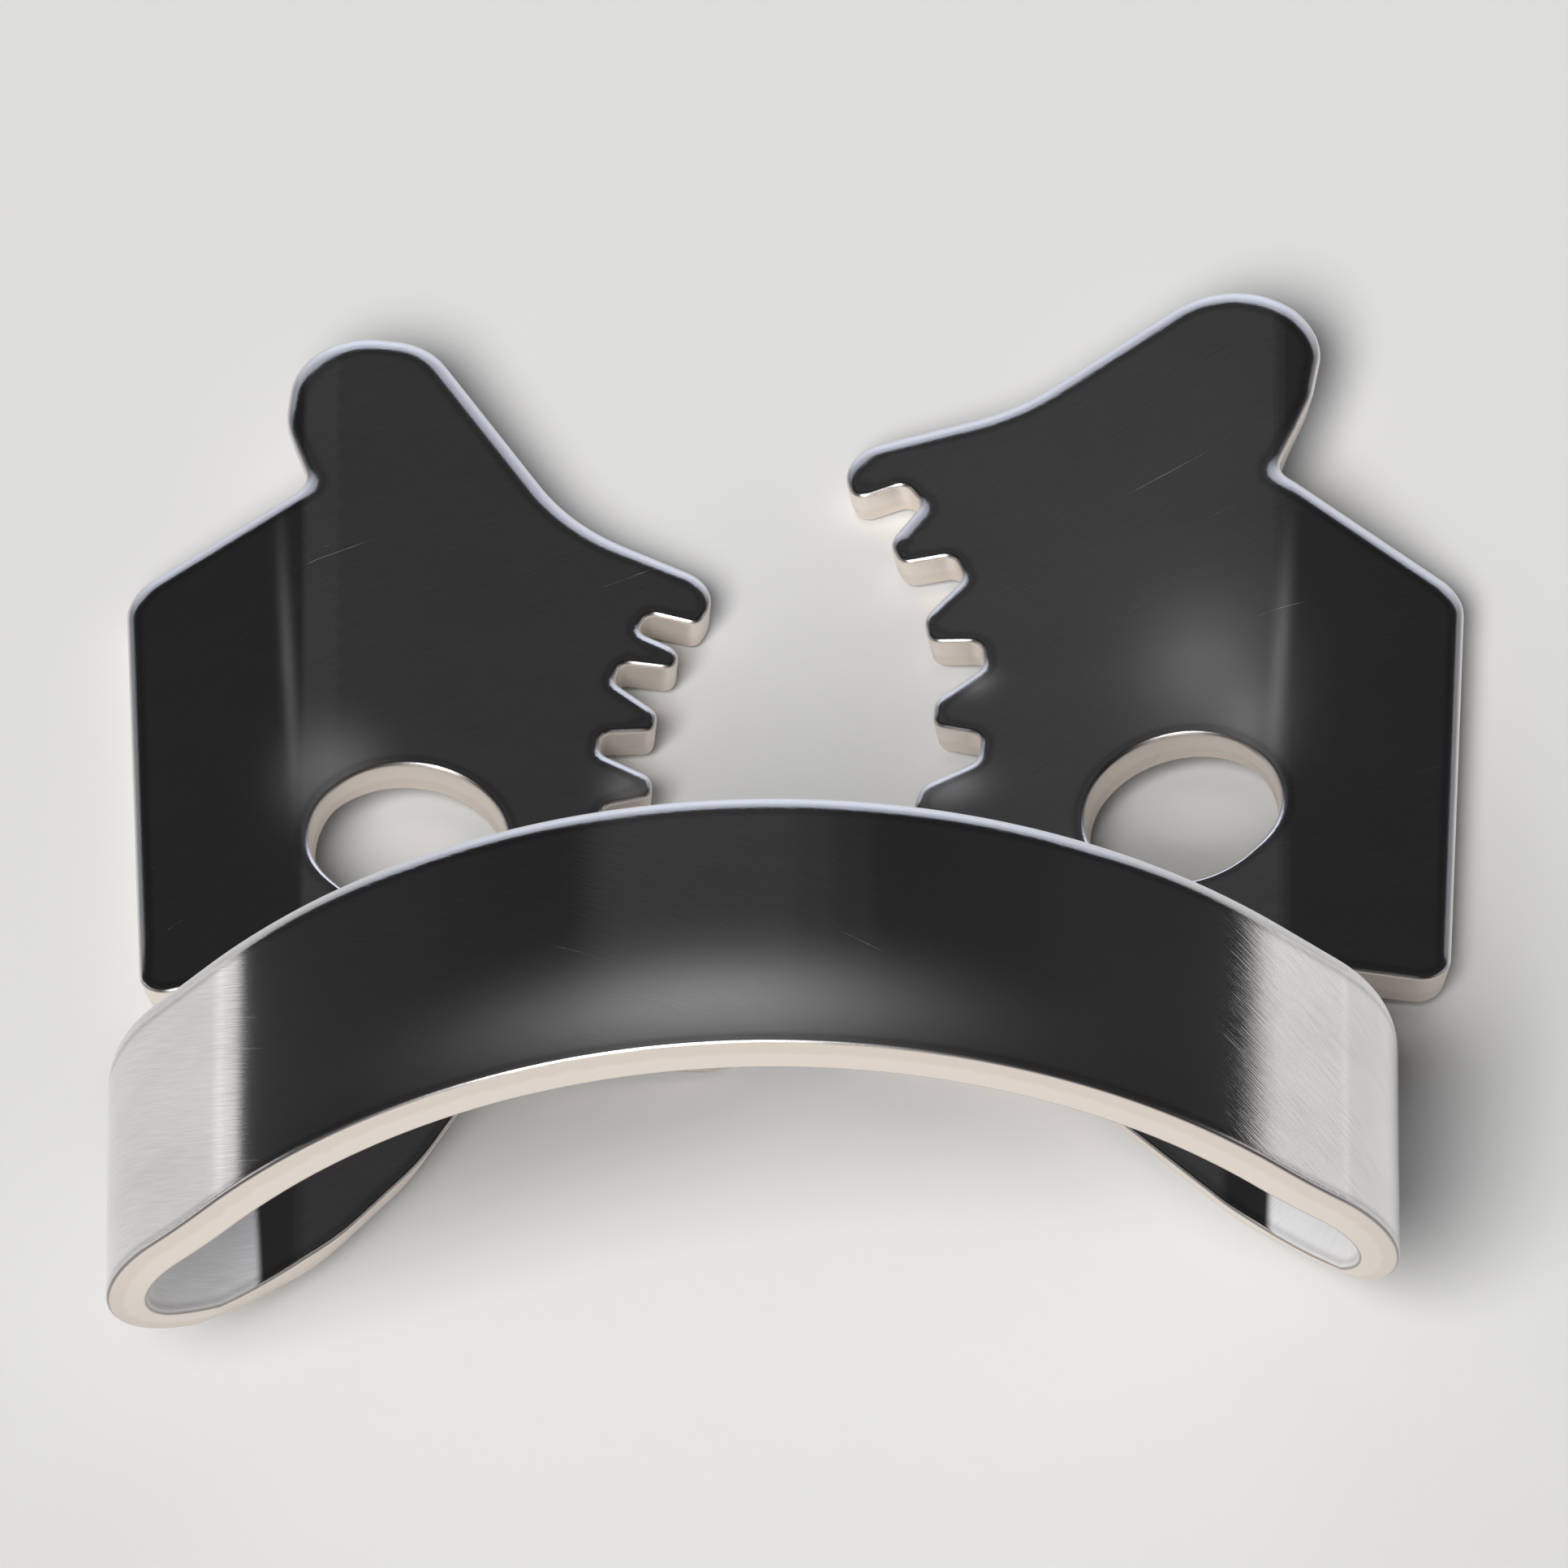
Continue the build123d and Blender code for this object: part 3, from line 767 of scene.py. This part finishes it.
# The floor and the lights, in metres. A light is a direction from the origin, a distance, a size
# across and up, a radiance and a colour. The sun is a direction, the width of its disc in degrees
# and its strength
stageLook = {
    "floorSize": 6.0,
    "floorColour": (0.80, 0.79, 0.765, 1),
    "floorRoughness": 0.9,
    "worldColour": (0.022, 0.0215, 0.0225, 1),
    "sun": ((-0.25, -0.75, 0.80), 34.0, 3.5),
    "lights": {
        "backLight": ((0, 0.95, 0.30), 0.9, 1.30, 0.34, 1.5, (0.76, 0.83, 1.0)),
        "backUpper": ((0, 0.84, 0.545), 0.9, 0.56, 0.16, 1.2, (0.76, 0.83, 1.0)),
        "upperWide": ((-0.05, 0.66, 0.75), 0.9, 0.54, 0.54, 0.009, (1, 0.99, 1)),
        "upperHalf": ((-0.08, 0.66, 0.75), 0.9, 0.44, 0.48, 0.009, (1, 0.99, 1)),
        "upperSmall": ((-0.10, 0.66, 0.75), 0.9, 0.34, 0.42, 0.009, (1, 0.99, 1)),
        "leftLow": ((-0.75, 0.66, 0.022), 0.9, 0.60, 0.07, 0.8, (1, 0.98, 0.97)),
        "rightLow": ((0.75, 0.66, 0.045), 0.9, 0.60, 0.12, 0.73, (1, 0.98, 0.97)),
        "leftSide": ((-0.98, -0.05, 0.20), 0.9, 0.70, 0.36, 0.9, (1, 0.98, 0.97)),
        "rightSide": ((0.98, -0.05, 0.20), 0.9, 0.70, 0.36, 0.7, (1, 0.98, 0.97)),
    },
}


def makeFloor():
    # One square at the height of the clamp's lowest points
    half = stageLook["floorSize"] / 2
    ground = bpy.data.meshes.new("floor")
    ground.from_pydata([(-half, -half, 0), (half, -half, 0), (half, half, 0), (-half, half, 0)], [],
                       [(0, 1, 2, 3)])
    floor = bpy.data.objects.new("floor", ground)
    floor.location.z = cadLow.z
    bpy.context.scene.collection.objects.link(floor)
    finish = Finish("paleFloor")
    floor.data.materials.append(finish.finish(Base_Color=stageLook["floorColour"],
                                              Roughness=stageLook["floorRoughness"]))


def makeLight(name, kind, direction, distance, colour):
    # A light in a direction from the clamp, turned towards it
    lamp = bpy.data.lights.new(name, kind)
    lamp.color = colour
    light = bpy.data.objects.new(name, lamp)
    direction = Vector(direction).normalized()
    light.location = direction * distance
    light.rotation_mode = "QUATERNION"
    light.rotation_quaternion = direction.to_track_quat("Z", "Y")
    bpy.context.scene.collection.objects.link(light)
    return lamp


makeFloor()
direction, width, strength = stageLook["sun"]
sun = makeLight("keyLight", "SUN", direction, 1.0, (1, 1, 1))
sun.angle, sun.energy = math.radians(width), strength
for name, (direction, distance, across, up, radiance, colour) in stageLook["lights"].items():
    # power = radiance * pi * area
    lamp = makeLight(name, "AREA", direction, distance, colour)
    lamp.shape, lamp.size, lamp.size_y = "RECTANGLE", across, up
    lamp.energy = radiance * math.pi * across * up

world = bpy.data.worlds.new("studio")
world.use_nodes = True
world.node_tree.nodes["Background"].inputs["Color"].default_value = stageLook["worldColour"]
bpy.context.scene.world = world
bpy.context.scene.view_settings.view_transform = "Standard"

# The photograph's view: 1932 pixels wide, 60 pixels to the millimetre, the drawing's origin at pixel
# (979, 1003), the camera 48.8 degrees above the sheet and the clamp rolled 3.4 degrees
view = {"imageWidth": 1932, "pixelsPerMillimetre": 60.0, "originPixel": (979, 1003),
        "elevation": 48.8, "roll": 3.4, "lens": 1200.0, "sensor": 36.0, "clipRatio": 100}


def makeCamera():
    # right and up turn the frame's axes by the elevation and the roll, and back is their cross product.
    # The camera stands back from its aim by the width it sees * lens / sensor
    camera = bpy.data.cameras.new("camera")
    camera.lens, camera.sensor_width = view["lens"], view["sensor"]
    holder = bpy.data.objects.new("camera", camera)
    bpy.context.scene.collection.objects.link(holder)
    roll, tilt = math.radians(view["roll"]), math.radians(90 - view["elevation"])
    right = Vector((math.cos(roll), 0, -math.sin(roll)))
    up = Vector((math.sin(roll) * math.sin(tilt), math.cos(tilt), math.cos(roll) * math.sin(tilt)))
    back = right.cross(up)
    middle = view["imageWidth"] / 2
    aim = right * (middle - view["originPixel"][0]) + up * (view["originPixel"][1] - middle)
    aim = (aim / view["pixelsPerMillimetre"] + Vector(drawingShift)) * millimetre
    width = view["imageWidth"] / view["pixelsPerMillimetre"] * millimetre
    distance = width * view["lens"] / view["sensor"]
    holder.matrix_world = Matrix((right, up, back)).transposed().to_4x4()
    holder.location = aim + back * distance
    camera.clip_start, camera.clip_end = distance / view["clipRatio"], distance * view["clipRatio"]
    bpy.context.scene.camera = holder


makeCamera()
print("stage, lights and camera made")
